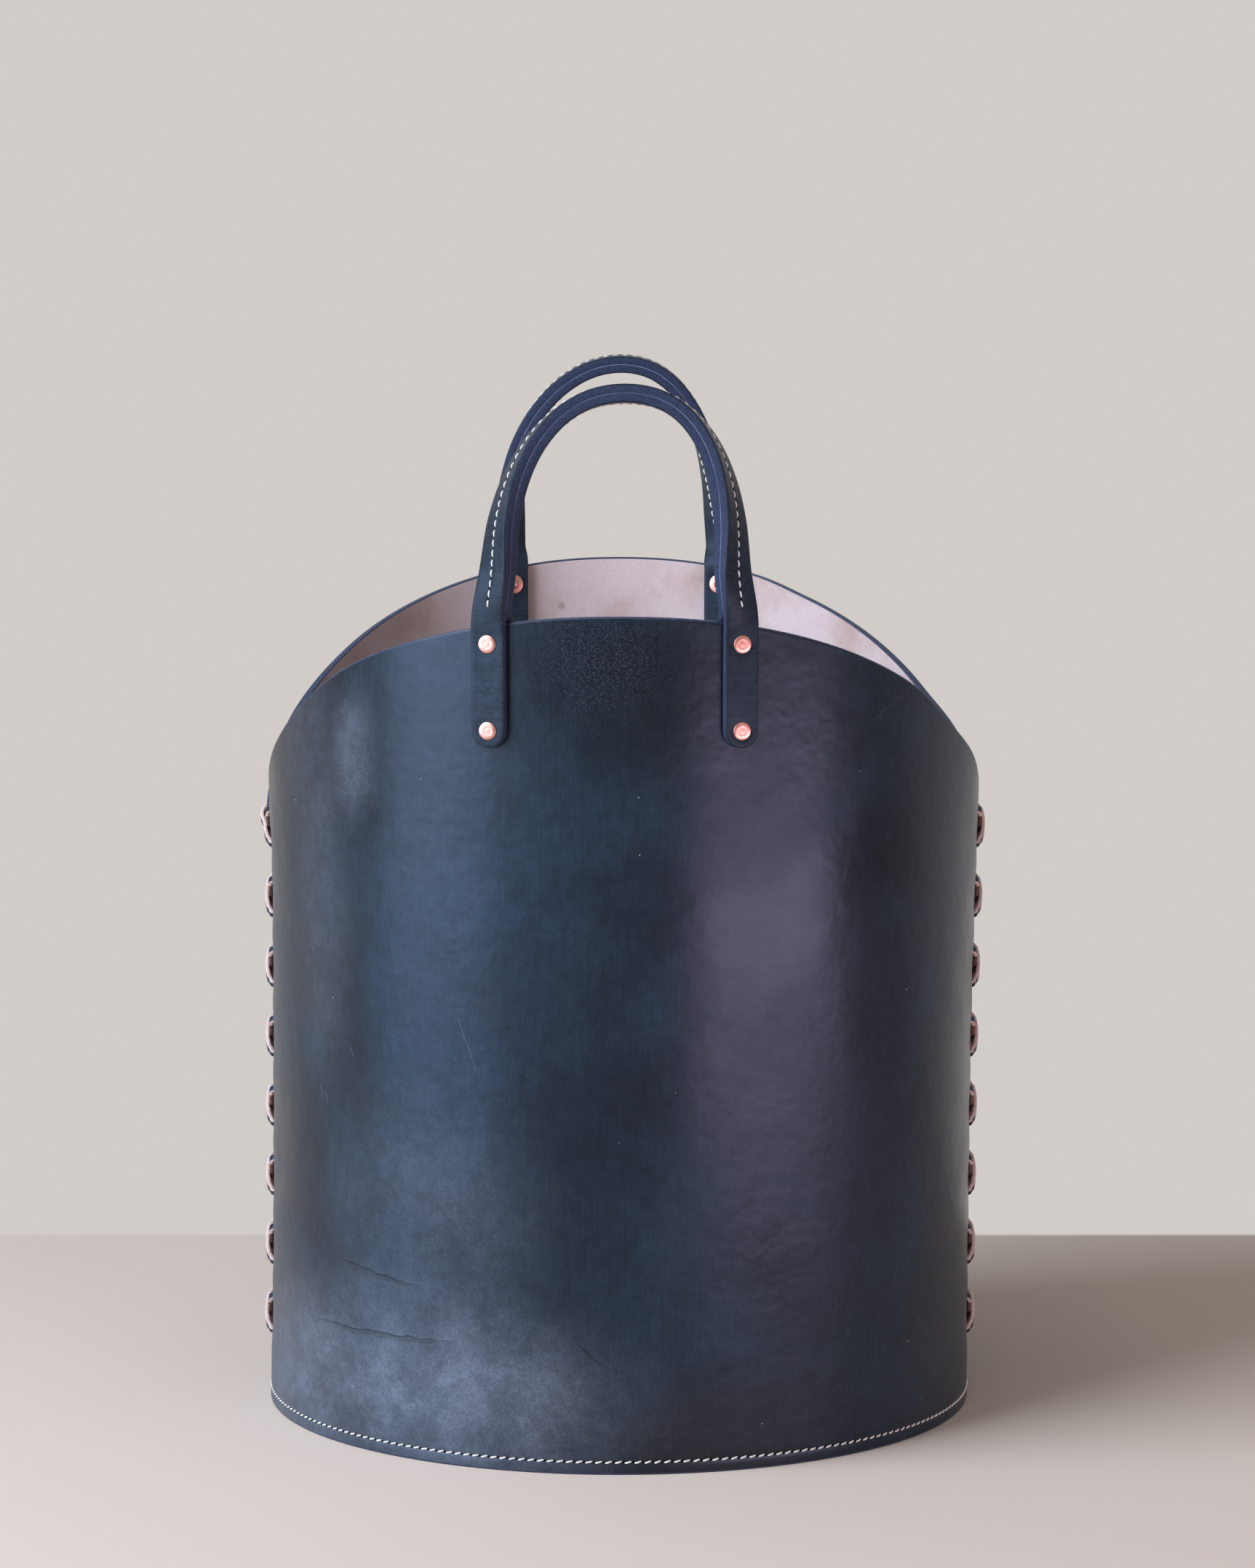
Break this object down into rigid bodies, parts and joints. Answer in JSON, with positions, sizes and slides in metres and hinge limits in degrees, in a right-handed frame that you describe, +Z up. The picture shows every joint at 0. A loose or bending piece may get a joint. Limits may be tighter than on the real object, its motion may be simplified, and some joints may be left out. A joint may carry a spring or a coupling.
{
  "type": "log basket",
  "caption": "Round leather basket for firewood: curved side panels laced together, a sewn-in base and riveted strap handles on the raised front and back rims.",
  "frame": {"origin": "middle of the footprint, on the surface that the basket stands on", "axes": "+Z up, -Y towards the front panel, +X to the right seen from the front"},
  "size_m": [0.4148, 0.407, 0.5864],
  "materials": {
    "panel_leather": "waxed, dyed dark blue-black, soft sheen",
    "strap_leather": "waxed bridle leather with dyed edges",
    "base_leather": "natural flesh side, matt",
    "lace_leather": "dyed grain with natural cut edges",
    "copper": "brushed copper"
  },
  "bodies": {
    "root": {"front_panel": "panel_leather", "back_panel": "panel_leather", "base": "base_leather", "left_lace": "lace_leather", "right_lace": "lace_leather", "front_handle_outer_ply": "strap_leather", "front_handle_inner_ply": "strap_leather", "rivet_front_left_upper": "copper", "washer_front_left_upper": "copper", "rivet_front_left_lower": "copper", "washer_front_left_lower": "copper", "rivet_front_right_upper": "copper", "washer_front_right_upper": "copper", "rivet_front_right_lower": "copper", "washer_front_right_lower": "copper", "back_handle_outer_ply": "strap_leather", "back_handle_inner_ply": "strap_leather", "rivet_back_left_upper": "copper", "washer_back_left_upper": "copper", "rivet_back_left_lower": "copper", "washer_back_left_lower": "copper", "rivet_back_right_upper": "copper", "washer_back_right_upper": "copper", "rivet_back_right_lower": "copper", "washer_back_right_lower": "copper"}
  },
  "joints": []
}
